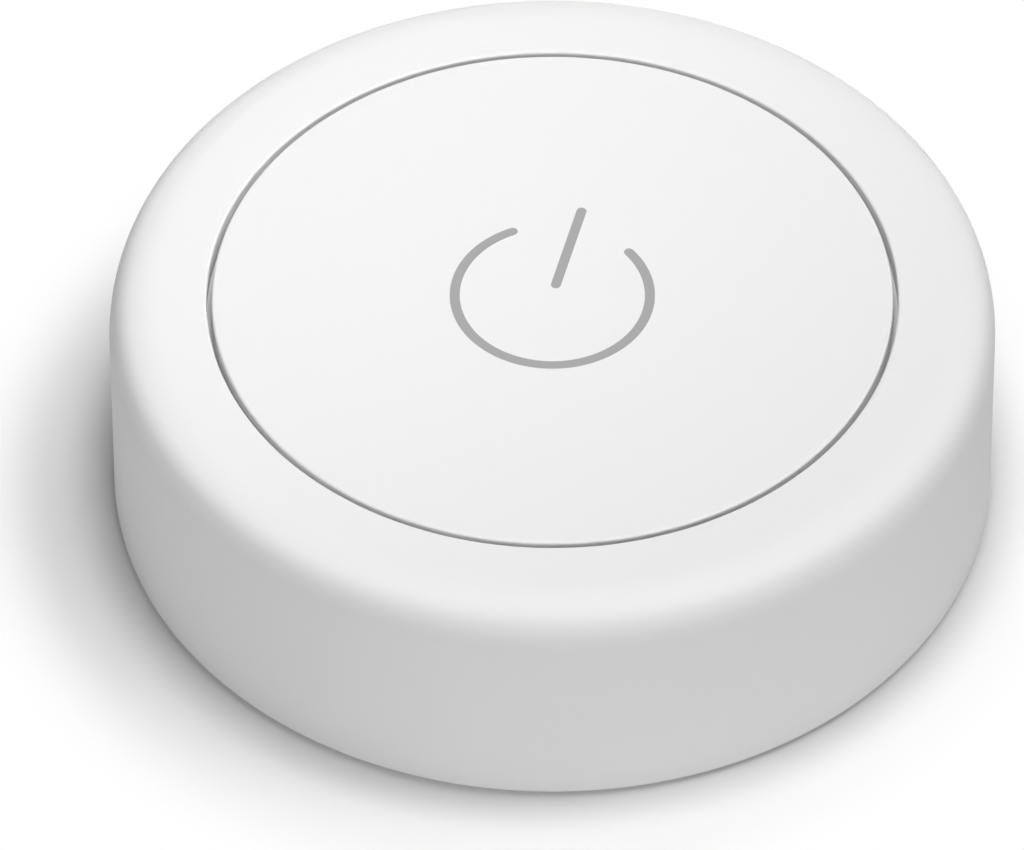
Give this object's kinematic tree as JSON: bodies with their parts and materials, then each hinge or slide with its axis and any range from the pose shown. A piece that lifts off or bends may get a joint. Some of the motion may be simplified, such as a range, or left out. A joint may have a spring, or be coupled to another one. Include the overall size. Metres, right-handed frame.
{
  "type": "smart button",
  "caption": "Round white wireless push button: a large flush cap pressed into a puck-shaped shell, with a coin cell behind a twist-off lid and an adhesive pad on the back.",
  "frame": {"origin": "on the axis, at the face of the adhesive pad that rests on or sticks to a surface", "axes": "+Z along the axis, out of the cap; the radio chip lies towards +Y"},
  "size_m": [0.03, 0.03, 0.0086],
  "materials": {
    "shell_white": "matte",
    "cap_white": "matte",
    "lid_white": "matte",
    "silicone_grey": "matte",
    "seal_grey": "matte",
    "board_green": "satin",
    "switch_black": "matte",
    "chip_black": "matte",
    "chip_ceramic": "satin",
    "lamp_ivory": "satin",
    "film_amber": "gloss",
    "tinned_metal": "satin",
    "spring_steel": "satin",
    "cell_steel": "satin",
    "gasket_grey": "matte",
    "cell_filling": "matte",
    "carrier_grey": "matte",
    "foam_black": "matte",
    "adhesive_grey": "matte"
  },
  "bodies": {
    "housing": {"outer_shell": "shell_white", "cap_membrane": "silicone_grey", "circuit_board": "board_green", "switch_base": "switch_black", "switch_terminals": "tinned_metal", "switch_dome": "spring_steel", "switch_frame": "spring_steel", "radio_chip": "chip_black", "main_crystal": "tinned_metal", "clock_crystal": "tinned_metal", "chip_antenna": "chip_ceramic", "status_led": "lamp_ivory", "ceramic_capacitors": "chip_ceramic", "chip_resistors": "chip_black", "chip_inductors": "chip_black", "reservoir_capacitor": "chip_ceramic", "insulating_film": "film_amber", "negative_contact": "spring_steel", "positive_contact": "spring_steel", "cell_can": "cell_steel", "cell_gasket": "gasket_grey", "cell_cap": "cell_steel", "cell_core": "cell_filling", "battery_carrier": "carrier_grey"},
    "button": {"button_cap": "cap_white"},
    "plunger": {"switch_plunger": "switch_black"},
    "lid": {"battery_lid": "lid_white", "lid_seal": "seal_grey", "lid_cushion": "foam_black", "adhesive_pad": "adhesive_grey"}
  },
  "joints": [
    {"name": "button_press", "type": "slide", "parent": "housing", "child": "button", "axis": [0, 0, -1], "range_m": [0, 0.0003], "stiffness_N_per_m": 6000, "deforming": ["cap_membrane", "switch_dome"]},
    {"name": "plunger_press", "type": "slide", "parent": "housing", "child": "plunger", "axis": [0, 0, -1], "range_m": [0, 0.0003]},
    {"name": "lid_twist", "type": "hinge", "parent": "housing", "child": "lid", "pos_m": [0, 0, 0], "axis": [0, 0, -1], "range_deg": [0, 30]}
  ],
  "couplings": [
    {"joint": "plunger_press", "follows": "button_press", "ratio": 1}
  ]
}
